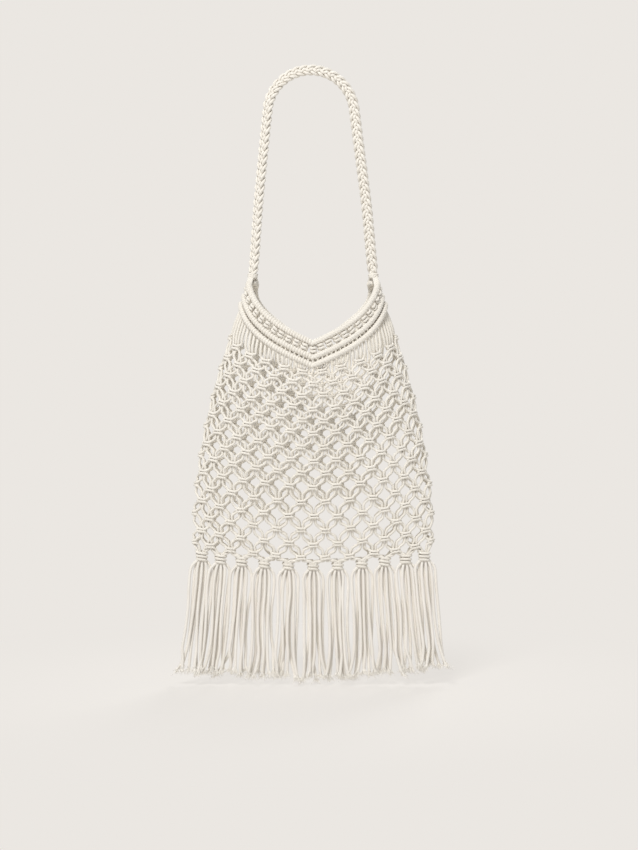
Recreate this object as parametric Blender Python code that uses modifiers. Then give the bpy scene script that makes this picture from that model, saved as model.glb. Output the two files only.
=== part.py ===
"""A knotted cotton shoulder bag: a plaited strap, two V-shaped neckline bands, an open net body and a fringe.

Frame: metres, +Z up, +X to the right as seen from the front, the front faces -Y. The origin is the
underside of the strap's arch, where a hook or a shoulder carries the bag, so the whole bag hangs below it.
"""

import math
import random

import bmesh
import bpy
from mathutils import Matrix, Vector

MM = 0.001

# Gaps between pieces
clearance = 0.3 * MM

# Strap, plaited from three strands
strap_width = 12.4 * MM
strap_thickness = 9.0 * MM
arch_radius = 52.0 * MM
strap_drop = 243.5 * MM
arch_steps = 16

# Bound ends where the strap meets the neckline
bound_width = 6.8 * MM
taper_length = 9.0 * MM
wrap_height = 7.2 * MM
wrap_cord = 2.9 * MM
wrap_turns = 2
wrap_steps = 12

# Neckline: three rolls of hitches and a row of knots, a V at the front and at the back
roll_thickness = 8.2 * MM
neck_rise = 71.0 * MM
corner_half_width = 86.0 * MM
mouth_half_depth = 46.0 * MM
knot_row_pitch = 16.5 * MM
roll_pitch = 10.1 * MM
knots_in_half_row = 11
knot_waist = 0.62
roll_steps = 11

# Net body
net_height = 307.0 * MM
bottom_half_width = 146.0 * MM
closed_half_depth = 5.2 * MM
net_thickness = 5.0 * MM
widening_height = 276.0 * MM
first_row_drop = 10.0 * MM
first_row_rise = 38.0 * MM
bottom_rise = 12.0 * MM
net_columns = 6
net_rows = 10
knot_width = 20.0 * MM
knot_height = 9.0 * MM
hem_height = 9.0 * MM
mouth_turn = math.radians(90)
bottom_turn = math.radians(50)

# Fringe
tassels = 11
tassel_length = 132.0 * MM
head_width = 19.0 * MM
head_depth = 14.0 * MM
head_height = 10.0 * MM
lock_thickness = 5.0 * MM
locks_in_tassel = 7
lock_spread = 1.2
fringe_spread = 1.09
length_variation = 6.0 * MM

# Cotton, undyed
cotton_colour = (0.78, 0.74, 0.67, 1.0)
cotton_roughness = 0.9

# Shapes of the curves below: how the neckline swells, how fast the sides widen, how the depth closes and
# how the first row rises
neck_swell = 0.95
widening_power = 1.8
closing_power = 2.2
row_power = 1.5

# Heights worked out from the sizes above. Every cord here has eight flat sides.
flat_share = math.cos(math.pi / 8)
roll_radius = roll_thickness / 2
corner_slope = math.atan2(neck_rise * (1 - neck_swell) / (math.pi / 2), mouth_half_depth)
roll_peak = roll_radius * flat_share / math.cos(corner_slope)
top_roll_corner = -strap_drop - clearance - roll_peak
middle_roll_corner = top_roll_corner - knot_row_pitch
bottom_roll_corner = middle_roll_corner - roll_pitch
bottom_roll_low = bottom_roll_corner - neck_rise
net_bottom_low = bottom_roll_corner - net_height
knot_row_corner = (top_roll_corner + middle_roll_corner) / 2
hem_gap = closed_half_depth - net_thickness / 2
head_seat = head_height / 2 * (1 - math.sqrt(1 - (2 * hem_gap / head_depth) ** 2))


def clear_scene():
    """Removes the objects of the scene that the script starts in."""
    for old in list(bpy.data.objects):
        bpy.data.objects.remove(old, do_unlink=True)


def new_collection(name):
    made = bpy.data.collections.new(name)
    bpy.context.scene.collection.children.link(made)
    return made


def cotton():
    """Undyed cotton cord: matt, pale and slightly warm."""
    material = bpy.data.materials.new("undyed_cotton")
    material.use_nodes = True
    shader = material.node_tree.nodes["Principled BSDF"]
    shader.inputs["Base Color"].default_value = cotton_colour
    shader.inputs["Roughness"].default_value = cotton_roughness
    shader.inputs["Metallic"].default_value = 0.0
    return material


def add(name, data, collection):
    """A new object for this data, with the cotton on it."""
    made = bpy.data.objects.new(name, data)
    collection.objects.link(made)
    if not data.materials:
        data.materials.append(bpy.data.materials["undyed_cotton"])
    return made


def half_width(height):
    """The bag's half width at a height: it widens fast under the corners and then slows."""
    share = min((bottom_roll_corner - height) / widening_height, 1.0)
    return bottom_half_width - (bottom_half_width - corner_half_width) * (1 - share) ** widening_power


def half_depth(height):
    """The bag's half depth at a height: full at the mouth, nearly closed at the fringe."""
    share = min(max((bottom_roll_corner - height) / net_height, 0.0), 1.0)
    return closed_half_depth + (mouth_half_depth - closed_half_depth) * (1 - share**closing_power)


def across(share, height):
    """How far across the bag a column is, from -1 to 1: columns crowd at the sides, most at the mouth."""
    fall = min(max((bottom_roll_corner - height) / net_height, 0.0), 1.0)
    turn = mouth_turn + (bottom_turn - mouth_turn) * fall
    return math.sin(share * turn) / math.sin(turn)


def wall_point(face, share, height, outward=0.0):
    """A point on the net's wall. face is -1 at the front and 1 at the back."""
    part = max(-1.0, min(1.0, across(share, height)))
    depth = (half_depth(height) + outward) * math.sqrt(1 - part * part)
    return Vector(
        ((half_width(height) + outward) * part, face * max(depth, clearance / 2), height)
    )


def neck_height(angle, corner):
    """The height of a roll at an angle round the mouth, 0 at the V and 90 degrees at the corners.

    It climbs evenly with the angle, with a swell on the way that is gone again at the corner.
    """
    share = abs(angle) / (math.pi / 2)
    return corner - neck_rise * (1 - share - neck_swell * share**3 * (1 - share))


def neck_tilt(angle, corner):
    """The cosine of a roll's climb at an angle round the mouth."""
    height = neck_height(angle, corner)
    share = abs(angle) / (math.pi / 2)
    climb = neck_rise * (1 + neck_swell * (3 - 4 * share) * share * share) / (math.pi / 2)
    run = math.hypot(half_width(height) * math.cos(angle), half_depth(height) * math.sin(angle))
    return run / math.hypot(run, climb)


def neck_point(face, angle, corner):
    """A point on a roll's centre line."""
    height = neck_height(angle, corner)
    return Vector(
        (
            half_width(height) * math.sin(angle),
            face * half_depth(height) * math.cos(angle),
            height,
        )
    )


def tube(name, points, thickness, radii=None):
    """A round cord through these points, as a mesh with closed ends."""
    data = bpy.data.curves.new(name, "CURVE")
    data.dimensions = "3D"
    data.bevel_depth = thickness / 2
    data.bevel_resolution = 2
    data.use_fill_caps = True
    spline = data.splines.new("POLY")
    spline.points.add(len(points) - 1)
    for i, point in enumerate(points):
        spline.points[i].co = (*point, 1)
        spline.points[i].radius = radii[i] if radii else 1.0
    guide = bpy.data.objects.new(name, data)
    bpy.context.scene.collection.objects.link(guide)
    graph = bpy.context.evaluated_depsgraph_get()
    mesh = bpy.data.meshes.new_from_object(guide.evaluated_get(graph))
    bpy.data.objects.remove(guide, do_unlink=True)
    bpy.data.curves.remove(data)
    work = bmesh.new()
    work.from_mesh(mesh)
    bmesh.ops.remove_doubles(work, verts=work.verts, dist=0.01 * MM)
    work.to_mesh(mesh)
    work.free()
    mesh.name = name
    return mesh


def trim(mesh, point, normal):
    """Cuts the mesh at a plane, drops what lies beyond it and closes the cut."""
    work = bmesh.new()
    work.from_mesh(mesh)
    geometry = list(work.verts) + list(work.edges) + list(work.faces)
    cut = bmesh.ops.bisect_plane(
        work, geom=geometry, plane_co=point, plane_no=normal, clear_outer=True
    )
    rim = [item for item in cut["geom_cut"] if isinstance(item, bmesh.types.BMEdge)]
    bmesh.ops.holes_fill(work, edges=rim, sides=0)
    bmesh.ops.recalc_face_normals(work, faces=work.faces)
    work.to_mesh(mesh)
    work.free()


def smooth(mesh):
    mesh.shade_smooth()
    mesh.set_sharp_from_angle(angle=math.radians(40))


def strap_legs():
    """The arch's centre, the legs' splay and their length, so that a leg stands on each corner."""
    centre = Vector((0, 0, strap_width / 2 * flat_share - arch_radius))
    foot = Vector((half_width(top_roll_corner), 0, -strap_drop)) - centre
    splay = math.atan2(foot.z, foot.x) + math.acos(arch_radius / foot.length)
    return centre, splay, math.sqrt(foot.length_squared - arch_radius**2)


def make_strap(collection):
    """The plaited strap as one oval body: a round arch on two legs that splay outwards."""
    centre, splay, leg_length = strap_legs()
    reach = math.pi / 2 - splay
    leg_direction = Vector((math.sin(splay), 0, -math.cos(splay)))
    arch = [
        centre + arch_radius * Vector((math.sin(a), 0, math.cos(a)))
        for a in (reach * (2 * i / arch_steps - 1) for i in range(arch_steps + 1))
    ]
    bound = bound_width / strap_width
    lengths = (leg_length - wrap_height - taper_length, leg_length - wrap_height, leg_length)
    right_leg = [arch[-1] + leg_direction * length for length in lengths]
    left_leg = [Vector((-p.x, 0, p.z)) for p in reversed(right_leg)]
    radii = [bound, bound, 1.0, *[1.0] * len(arch), 1.0, bound, bound]
    mesh = tube("strap", [*left_leg, *arch, *right_leg], strap_width, radii)
    mesh.transform(Matrix.Diagonal((1, strap_thickness / strap_width, 1, 1)))
    trim(mesh, Vector((0, 0, -strap_drop)), Vector((0, 0, -1)))
    smooth(mesh)
    add("strap", mesh, collection)


def wrap_profile():
    """Half the section of the wrapped turns: a straight bore and one bulge for each turn."""
    inner = bound_width / 2 + clearance
    turn = wrap_height / wrap_turns
    points = [(inner, wrap_height)]
    for i in range(wrap_turns):
        top = wrap_height - i * turn
        points += [(inner + wrap_cord / 2, top), (inner + wrap_cord, top - turn / 2)]
    points += [(inner + wrap_cord / 2, 0), (inner, 0)]
    return points


def make_wraps(collection):
    """A wrapped knot of two turns round each lower end of the strap."""
    _, splay, _ = strap_legs()
    for name, side in (("left_wrap", -1), ("right_wrap", 1)):
        mesh = bpy.data.meshes.new(name)
        profile = wrap_profile()
        ring = list(range(len(profile)))
        mesh.from_pydata(
            [(x, 0, z) for x, z in profile], [(i, (i + 1) % len(ring)) for i in ring], []
        )
        made = add(name, mesh, collection)
        screw = made.modifiers.new("turns", "SCREW")
        screw.steps = wrap_steps
        screw.render_steps = wrap_steps
        screw.use_merge_vertices = True
        screw.merge_threshold = 0.0001
        made.rotation_euler = (0, -side * splay, 0)
        made.location = (side * half_width(top_roll_corner), 0, -strap_drop + clearance)


def make_rolls(collection):
    """The three rolls of hitches on each face, mitred where front and back meet at the corners."""
    past_corner = math.radians(8)
    corners = {
        "top_roll": top_roll_corner,
        "middle_roll": middle_roll_corner,
        "bottom_roll": bottom_roll_corner,
    }
    for face_name, face in (("front", -1), ("back", 1)):
        for roll, corner in corners.items():
            reach = math.pi / 2 + past_corner
            angles = [reach * i / roll_steps for i in range(-roll_steps, roll_steps + 1)]
            name = f"{face_name}_{roll}"
            mesh = tube(name, [neck_point(face, a, corner) for a in angles], roll_thickness)
            trim(mesh, Vector((0, face * clearance / 2, 0)), Vector((0, -face, 0)))
            smooth(mesh)
            add(name, mesh, collection)


def make_knot_rows(collection):
    """The row of knots between the top and middle rolls: a swelling for each knot."""
    for face_name, face in (("front", -1), ("back", 1)):
        last = 2 * knots_in_half_row
        reach = math.pi / 2
        angles = [reach * i / last for i in range(1 - last, last)]
        points = [neck_point(face, a, knot_row_corner) for a in angles]
        radii = []
        for i, angle in enumerate(angles):
            room = knot_row_pitch * neck_tilt(angle, knot_row_corner) - roll_thickness
            swelling = 1.0 if i % 2 == 0 else knot_waist
            radii.append(swelling * (room - 2 * clearance) / roll_thickness)
        name = f"{face_name}_knot_row"
        mesh = tube(name, points, roll_thickness, radii)
        smooth(mesh)
        add(name, mesh, collection)


def row_height(row, share):
    """The height of a net row's centre at a column: rows sag in the middle, more so near the neckline."""
    first = bottom_roll_low - roll_peak - first_row_drop + first_row_rise * abs(share) ** row_power
    last = net_bottom_low + hem_height + knot_height / 2 + bottom_rise * share * share
    return first + (last - first) * row / (net_rows - 1)


def knot_corners(row, share):
    """The six corners of a net knot as (share across, height): upper left, middle, right, then the lower."""
    half = knot_width / 2 / (bottom_half_width * math.pi / 3)
    places = [max(-1.0, min(1.0, share + i * half)) for i in (-1, 0, 1)]
    middle = row_height(row, share)
    return [(p, middle + side * knot_height / 2) for side in (1, -1) for p in places]


def net_cells():
    """Corners and faces of the net laid flat: knots in staggered rows, legs between them, a border each end."""
    corners = []
    faces = []
    rows = []

    def corner(point):
        corners.append(point)
        return len(corners) - 1

    for row in range(net_rows):
        staggered = row % 2
        count = net_columns + staggered
        shift = 0.0 if staggered else 0.5
        knots = []
        for column in range(count):
            share = -1 + 2 * (column + shift) / net_columns
            points = knot_corners(row, share)
            if staggered and column in (0, count - 1):
                keep = (1, 2) if column == 0 else (0, 1)
                upper = [corner(points[i]) for i in keep]
                lower = [corner(points[3 + i]) for i in keep]
            else:
                upper = [corner(p) for p in points[:3]]
                lower = [corner(p) for p in points[3:]]
            for i in range(len(upper) - 1):
                faces.append((upper[i], lower[i], lower[i + 1], upper[i + 1]))
            knots.append((upper, lower))
        rows.append(knots)

    for row in range(net_rows - 1):
        staggered = row % 2
        for column, (_, lower) in enumerate(rows[row]):
            below_left = column - 1 + (1 - staggered)
            below_right = below_left + 1
            if below_left >= 0:
                upper = rows[row + 1][below_left][0]
                faces.append((lower[0], upper[-2], upper[-1], lower[1]))
            if below_right < len(rows[row + 1]):
                upper = rows[row + 1][below_right][0]
                faces.append((lower[-2], upper[0], upper[1], lower[-1]))

    top_run = [i for upper, _ in rows[0] for i in upper]
    ends = [corner((side, corners[top_run[i]][1])) for side, i in ((-1, 0), (1, -1))]
    top_run = [ends[0], *top_run, ends[1]]
    if net_columns % 2 == 0:
        top_run.insert(len(top_run) // 2, corner((0.0, row_height(0, 0.0) + knot_height / 2)))
    top_edge = [corner((corners[i][0], neckline_edge(corners[i][0]))) for i in top_run]
    for i in range(len(top_run) - 1):
        faces.append((top_edge[i], top_run[i], top_run[i + 1], top_edge[i + 1]))

    bottom_run = [i for _, lower in rows[-1] for i in lower]
    bottom_edge = [corner((corners[i][0], hem_edge(corners[i][0]))) for i in bottom_run]
    for i in range(len(bottom_run) - 1):
        faces.append((bottom_run[i], bottom_edge[i], bottom_edge[i + 1], bottom_run[i + 1]))
    return corners, faces


def neckline_edge(share):
    """The height of the net's upper edge, just under the bottom roll."""
    height = bottom_roll_corner
    for _ in range(8):
        angle = math.asin(max(-1.0, min(1.0, across(share, height))))
        drop = roll_radius / neck_tilt(angle, bottom_roll_corner)
        height = neck_height(angle, bottom_roll_corner) - drop - 2 * clearance
    return height


def hem_edge(share):
    """The height of the net's lower edge, just over the tassels' heads."""
    return net_bottom_low + bottom_rise * share * share


def make_nets(collection):
    """The front and back of the net: the flat cells put on the bag's shape, with a wall between two skins."""
    corners, cells = net_cells()
    for name, face in (("net_front", -1), ("net_back", 1)):
        mesh = bpy.data.meshes.new(name)
        work = bmesh.new()
        skins = []
        for outward in (net_thickness / 2, -net_thickness / 2):
            skins.append([work.verts.new(wall_point(face, s, z, outward)) for s, z in corners])
        outer, inner = skins
        uses = {}
        for cell in cells:
            work.faces.new([outer[i] for i in cell])
            work.faces.new([inner[i] for i in reversed(cell)])
            for a, b in zip(cell, cell[1:] + cell[:1]):
                uses.setdefault(frozenset((a, b)), []).append((a, b))
        for (a, b), *others in uses.values():
            if not others:
                work.faces.new((outer[b], outer[a], inner[a], inner[b]))
        bmesh.ops.recalc_face_normals(work, faces=work.faces)
        work.to_mesh(mesh)
        work.free()
        add(name, mesh, collection)


def make_lock(name, start, end, collection):
    """One lock of a tassel: a straight tapered strip that starts inside the head."""
    run = end - start
    bpy.ops.mesh.primitive_cone_add(
        vertices=5,
        radius1=lock_thickness / 2,
        radius2=lock_thickness / 2 * 0.8,
        depth=run.length,
    )
    made = bpy.context.object
    made.name = name
    made.rotation_mode = "QUATERNION"
    made.rotation_quaternion = run.to_track_quat("-Z", "X")
    made.location = (start + end) / 2
    made.hide_render = True
    made.display_type = "WIRE"
    for old in list(made.users_collection):
        old.objects.unlink(made)
    collection.objects.link(made)


def make_fringe(collection, helpers):
    """Eleven tassels: a flattened round head for each, with locks that fan out under it."""
    chance = random.Random(11)
    for i in range(tassels):
        share = -1 + (2 * i + 1) / tassels
        height = hem_edge(share) - clearance + head_seat - head_height / 2
        centre = Vector((bottom_half_width * across(share, net_bottom_low), 0, height))
        bpy.ops.mesh.primitive_uv_sphere_add(segments=8, ring_count=5, radius=1)
        head = bpy.context.object
        head.name = f"tassel_{i + 1:02d}"
        head.data.name = head.name
        head.data.transform(Matrix.Diagonal((head_width / 2, head_depth / 2, head_height / 2, 1)))
        head.data.materials.append(bpy.data.materials["undyed_cotton"])
        head.location = centre
        for old in list(head.users_collection):
            old.objects.unlink(head)
        collection.objects.link(head)
        locks = bpy.data.collections.new(f"locks_{i + 1:02d}")
        helpers.children.link(locks)
        for k in range(locks_in_tassel):
            part = 2 * k / (locks_in_tassel - 1) - 1
            reach = (head_width - lock_thickness) / 2 * part
            side = (head_depth - lock_thickness) / 4 * (1 if k % 2 else -1)
            start = centre + Vector((reach, side, 0))
            length = tassel_length - length_variation * chance.random()
            foot = Vector(
                (centre.x * fringe_spread + reach * lock_spread, 2 * side, height - length)
            )
            make_lock(f"lock_{i + 1:02d}_{k + 1}", start, foot, locks)
        union = head.modifiers.new("locks", "BOOLEAN")
        union.operation = "UNION"
        union.operand_type = "COLLECTION"
        union.collection = locks
        union.solver = "EXACT"


def main():
    clear_scene()
    bag = new_collection("macrame_bag")
    helpers = new_collection("helpers")
    cotton()
    make_strap(bag)
    make_wraps(bag)
    make_rolls(bag)
    make_knot_rows(bag)
    make_nets(bag)
    make_fringe(bag, helpers)


main()
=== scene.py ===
import math

import bpy
import numpy as np
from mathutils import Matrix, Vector


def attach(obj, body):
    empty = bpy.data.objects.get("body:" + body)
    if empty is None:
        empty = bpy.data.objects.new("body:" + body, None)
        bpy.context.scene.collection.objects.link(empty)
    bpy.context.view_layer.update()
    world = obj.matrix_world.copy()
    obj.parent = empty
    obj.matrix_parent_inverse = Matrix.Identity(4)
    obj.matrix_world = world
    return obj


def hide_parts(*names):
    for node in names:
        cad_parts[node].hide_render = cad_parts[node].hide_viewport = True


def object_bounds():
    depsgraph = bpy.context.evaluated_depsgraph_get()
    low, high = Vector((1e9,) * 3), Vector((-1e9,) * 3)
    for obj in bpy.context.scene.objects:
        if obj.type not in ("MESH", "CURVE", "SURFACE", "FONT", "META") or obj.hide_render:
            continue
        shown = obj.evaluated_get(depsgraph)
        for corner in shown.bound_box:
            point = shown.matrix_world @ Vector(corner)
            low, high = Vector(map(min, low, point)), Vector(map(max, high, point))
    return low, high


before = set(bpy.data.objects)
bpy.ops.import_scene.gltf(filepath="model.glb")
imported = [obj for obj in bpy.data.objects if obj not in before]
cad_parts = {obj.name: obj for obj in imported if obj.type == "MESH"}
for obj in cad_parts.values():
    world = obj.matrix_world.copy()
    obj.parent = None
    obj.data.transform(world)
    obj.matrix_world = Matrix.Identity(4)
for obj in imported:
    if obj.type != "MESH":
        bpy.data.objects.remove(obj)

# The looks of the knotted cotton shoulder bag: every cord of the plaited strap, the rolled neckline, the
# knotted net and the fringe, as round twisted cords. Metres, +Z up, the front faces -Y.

MM = 0.001
cad_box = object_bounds()
chance = np.random.default_rng(7)
made_pieces = []

# Cord
cord = 3.5 * MM
cord_radius = cord / 2
ply_pitch = 9.0 * MM
ply_count = 3

# The bag's form, as the solids have it
strap_width = 12.4 * MM
arch_radius = 52.0 * MM
strap_drop = 243.5 * MM
roll_radius = 4.1 * MM
neck_rise = 73.5 * MM
neck_swell = 0.95
corner_half_width = 86.0 * MM
mouth_half_depth = 46.0 * MM
knot_row_pitch = 16.5 * MM
roll_pitch = 10.1 * MM
net_height = 307.0 * MM
bottom_half_width = 146.0 * MM
closed_half_depth = 5.2 * MM
widening_height = 276.0 * MM
widening_power = 1.8
closing_power = 2.2
flat_share = math.cos(math.pi / 8)
corner_slope = math.atan2(neck_rise * (1 - neck_swell) / (math.pi / 2), mouth_half_depth)
top_roll_corner = -strap_drop - 0.3 * MM - roll_radius * flat_share / math.cos(corner_slope)
middle_roll_corner = top_roll_corner - knot_row_pitch
bottom_roll_corner = middle_roll_corner - roll_pitch
knot_row_corner = (top_roll_corner + middle_roll_corner) / 2

# Plaited strap
plait_length = 27.0 * MM
plait_cord = 3.8 * MM
plait_sway = 3.1 * MM
plait_depth = 2.1 * MM
pair_gap = 1.72 * MM
strap_lean = -2.7 * MM
foot_shift = 2.5 * MM
strap_twists = ((0, 0.35, 0.45, 0.55, 0.7, 1), (-40, -35, -10, 5, 15, 10))

# Binding of the strap's ends, and the cords that run on from it into the top rolls
binding_half_width = 4.3 * MM
binding_flatness = 0.9
binding_turns = 2
binding_pitch = 1.8 * MM
binding_rise = 1.9 * MM
binding_end = 0.15
tail_spacing = 1.9 * MM
tail_depth = 1.6 * MM
tail_start = 6 * MM
tail_turns = (86.0, 76.0, 62.0)
rear_tail_shift = 3.4 * MM

# Rolls of hitches and the row of knots
winding_radius = 1.8 * MM
winding_cord = 2.25 * MM
winding_pitch = 3.4 * MM
winding_slant = 1.0 * MM
roll_shift = {"top": -0.3 * MM, "middle": -0.5 * MM, "bottom": 0.0}
end_spread = {("front", "top"): 2.0 * MM, ("back", "top"): -8.5 * MM}
spread_turns = (48, 90)
spread_back_turns = (77, 90)
spread_back_share = 0.65
back_lift = 3.2 * MM
lift_turns = (8, 30, 68, 90)
knots_in_row = 25
knot_half_length = 2.5 * MM
knot_half_depth = 2.0 * MM
knot_bar_pitch = 3.9 * MM
knot_cord = 1.8 * MM
stem_spacing = 2.6 * MM
stem_inset = 0.4 * MM
stem_reach = 7.8 * MM
stem_radius = 1.9 * MM
core_radius = 1.6 * MM
halves_overlap = 0.012

# Net
columns = 22
rows = 15
side_inset = 2.5 * MM
bottom_turn = math.radians(50)
row_shares = (
    0, 0.056, 0.118, 0.182, 0.244, 0.306, 0.379, 0.448,
    0.517, 0.586, 0.664, 0.738, 0.812, 0.884, 0.955, 1,
)
first_row_centre = -356.0 * MM
first_row_edge = -314.4 * MM
last_row_centre = -589.0 * MM
last_row_edge = -576.0 * MM
row_curve = 1.5
net_cord = 3.15 * MM
knot_flatness = 0.86
leg_bow = 0.7
back_drop = 3.0 * MM
back_shift = 0.42
back_shift_start = 50 * MM
back_shift_reach = 0.8
fan_cord = 3.5 * MM
fan_fade = np.array([1, 1, 1, 1, 1, 0.8, 0.6, 0.3])
ladder_span = (-0.23, -0.62)
ladder_rows = 80
ladder_shares = 129
crease_cell = 1.6 * MM
crease_reach = 2.0 * MM
place_scatter = 1.035 * MM
tilt_scatter = math.radians(6)

# Fringe
tassels = 11
cords_in_tassel = 8
head_half_width = 6.3 * MM
head_rise = 1.2 * MM
head_half_depth = 4.6 * MM
head_pitch = 3.75 * MM
head_turns = 3
head_roundness = 0.75
head_curl = 1.1 * MM
head_taper = 0.13
tip_share = 0.85
fringe_inset = 0.985
fringe_spread = 1.085
hanging_cord = 3.71 * MM
head_cord = 3.4 * MM

# Depths below a head in mm, and at each depth the outer cords' distance from the tassel's middle in mm and
# the share of their places that the inner cords have reached
hang_depths = np.array([-3.0, 3.0, 6.5, 10.0, 17.0, 34.0, 60.0, 88.0, 108.0, 122.0, 132.0])
outer_reach = np.array([3.0, 4.6, 7.8, 10.6, 12.6, 13.0, 12.4, 12.0, 12.2, 12.8, 14.2])
inner_share = np.array([0.45, 0.5, 0.66, 0.84, 0.98, 1.02, 1.0, 1.05, 1.15, 1.3, 1.55])
inner_places = np.array([-7.3, -4.5, -1.5, 1.5, 4.5, 7.3])
drift_levels = (0.05, 0.3, 0.55, 0.8, 1)
drift_sizes = np.array([0, 0.9, 1.1, 1.5, 2.6]) * MM
fibre_radii = np.array([0.42, 0.4, 0.34, 0.16]) * MM
fringe_ends = ((-146, -70, 0, 70, 146), (-709, -717, -720, -716, -703))
fibres_in_end = 24
fibre_length = 10.5 * MM

# One knot's cords, in cord diameters: across, down, out
left_worker = (
    (-2.15, -1.25, 0.1), (-1.75, -0.86, 0.35), (-1.2, -0.6, 0.75), (-0.5, -0.5, 1.0), (0.5, -0.5, 1.0),
    (1.3, -0.42, 0.45), (1.55, 0, -0.2), (1.3, 0.42, 0.45), (0.5, 0.5, 1.0), (-0.5, 0.5, 1.0),
    (-1.2, 0.6, 0.75), (-1.75, 0.86, 0.35), (-2.15, 1.25, 0.1),
)
right_worker = (
    (2.15, -1.25, 0), (1.75, -0.88, 0.4), (1.3, -0.6, 0.8), (0.95, -0.3, 0.5), (0.6, -0.3, -0.5),
    (0, -0.3, -1.0), (-0.9, -0.3, -0.5), (-1.4, -0.24, 0.45), (-1.62, 0, 0.65), (-1.4, 0.24, 0.45),
    (-0.9, 0.3, -0.5), (0, 0.3, -1.0), (0.6, 0.3, -0.5), (0.95, 0.3, 0.5), (1.3, 0.6, 0.8),
    (1.75, 0.88, 0.4), (2.15, 1.25, 0),
)
left_filler = ((-0.62, -1.25, 0.05), (-0.5, 0, 0), (-0.62, 1.25, 0.05))
right_filler = ((0.62, -1.25, 0.05), (0.5, 0, 0), (0.62, 1.25, 0.05))

# A cord's part in the even rows, its part in the odd rows, which way it steps between them, and its place on
# the roll
cord_kinds = (
    (left_worker, right_filler, -0.5, -0.375),
    (left_filler, right_worker, -0.5, -0.125),
    (right_filler, left_worker, 0.5, 0.125),
    (right_worker, left_filler, 0.5, 0.375),
)

# Colours
cotton_light = (0.845, 0.815, 0.755, 1)
# The darker end of the cotton's own uneven tone, also the colour of the painted shade in the grooves between
# plies
cotton_shade = (0.68, 0.63, 0.545, 1)
# Painted shade: the colour that the creases between close-lying cords are darkened towards
cotton_painted_crease_shade = (0.30, 0.25, 0.19, 1)
hanging_light = (0.865, 0.835, 0.785, 1)
frayed_light = (0.93, 0.90, 0.845, 1)
frayed_shade = (0.88, 0.85, 0.79, 1)
studio_colour = (0.830, 0.799, 0.761, 1)
fill_colour = (0.80, 0.80, 0.80, 1)
fill_strength = 0.52
light_colour = (1.0, 0.985, 0.965)
floor_colour = (0.79, 0.765, 0.735, 1)

# Relief of the cotton, depth of the grooves between plies and strength of the painted crease shade
twisted_relief = (0.22 * MM, 1.0, 0.9)
hanging_relief = (0.18 * MM, 0.8, 0.12)
frayed_relief = (0.01 * MM, 0.1, 0.0)

# Studio
floor_drop = 15 * MM
floor_half_size = 12.0
bag_middle = (0, 0, -0.45)
camera_aim = (0.0072, 0, -0.4188)
camera_distance = 2.41
camera_rise = math.radians(1.5)
camera_lens = 85


# The bag's form


def half_width(height):
    """The bag's half width: it grows from the corners by a power of the share still to go down."""
    share = np.minimum((bottom_roll_corner - height) / widening_height, 1)
    return bottom_half_width - (bottom_half_width - corner_half_width) * (1 - share) ** widening_power


def half_depth(height):
    """The bag's half depth: full at the mouth and nearly closed at the fringe, by a power of the fall."""
    share = np.clip((bottom_roll_corner - height) / net_height, 0, 1)
    return closed_half_depth + (mouth_half_depth - closed_half_depth) * (1 - share**closing_power)


def neck_height(angle, corner):
    """A roll's height round the mouth: it climbs from the V to the corners, with a swell on the way."""
    share = np.abs(angle) / (math.pi / 2)
    return corner - neck_rise * (1 - share - neck_swell * share**3 * (1 - share))


def smooth_step(share):
    """An even rise from 0 to 1 that starts and ends level."""
    share = np.clip(share, 0, 1)
    return share * share * (3 - 2 * share)


def rise(value, first, last):
    """A smooth step between two values."""
    return smooth_step((value - first) / (last - first))


def rear_lift(angles):
    """How much higher the neckline lies at the back: nothing at the V and the corners, most between them."""
    turn = np.degrees(np.abs(angles))
    return back_lift * rise(turn, *lift_turns[:2]) * (1 - rise(turn, *lift_turns[2:]))


def neck_line(face, angles, corner, spread=0.0):
    """Points of a roll's centre line: an ellipse in plan, its ends set outwards and then partly back."""
    height = neck_height(angles, corner)
    turn = np.degrees(np.abs(angles))
    near = rise(turn, *spread_turns) * (1 - spread_back_share * rise(turn, *spread_back_turns))
    across = half_width(height) * np.sin(angles) + np.sign(angles) * spread * near
    if face > 0:
        height = height + rear_lift(angles)
    return np.stack([across, face * half_depth(height) * np.cos(angles), height], -1)


def net_radii(height):
    """Half width and half depth of the surface that the net's cords run on."""
    return half_width(height) - side_inset, np.maximum(half_depth(height) - side_inset, closed_half_depth)


def arc_angles():
    """For a ladder of heights, the angles at even shares of a quarter of the plan ellipse's length."""
    heights = np.linspace(*ladder_span, ladder_rows)
    fine = np.linspace(0, math.pi / 2, 400)
    made = []
    for height in heights:
        wide, deep = net_radii(height)
        steps = np.hypot(np.diff(wide * np.sin(fine)), np.diff(deep * np.cos(fine)))
        lengths = np.concatenate([[0], np.cumsum(steps)])
        made.append(np.interp(np.linspace(0, 1, ladder_shares), lengths / lengths[-1], fine))
    return heights, np.array(made)


ladder_heights, ladder_angles = arc_angles()


def angle_at(share, height):
    """The ellipse's angle at a share of its quarter arc and a height, from the ladder's nearest values."""
    down = (height - ladder_heights[0]) / (ladder_heights[-1] - ladder_heights[0])
    down = np.clip(down, 0, 1) * (ladder_rows - 1)
    along = np.clip(np.abs(share), 0, 1) * (ladder_shares - 1)
    i = np.minimum(down.astype(int), ladder_rows - 2)
    j = np.minimum(along.astype(int), ladder_shares - 2)
    p = down - i
    q = along - j
    upper = ladder_angles[i, j] * (1 - q) + ladder_angles[i, j + 1] * q
    lower = ladder_angles[i + 1, j] * (1 - q) + ladder_angles[i + 1, j + 1] * q
    return np.sign(share) * (upper * (1 - p) + lower * p)


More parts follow.
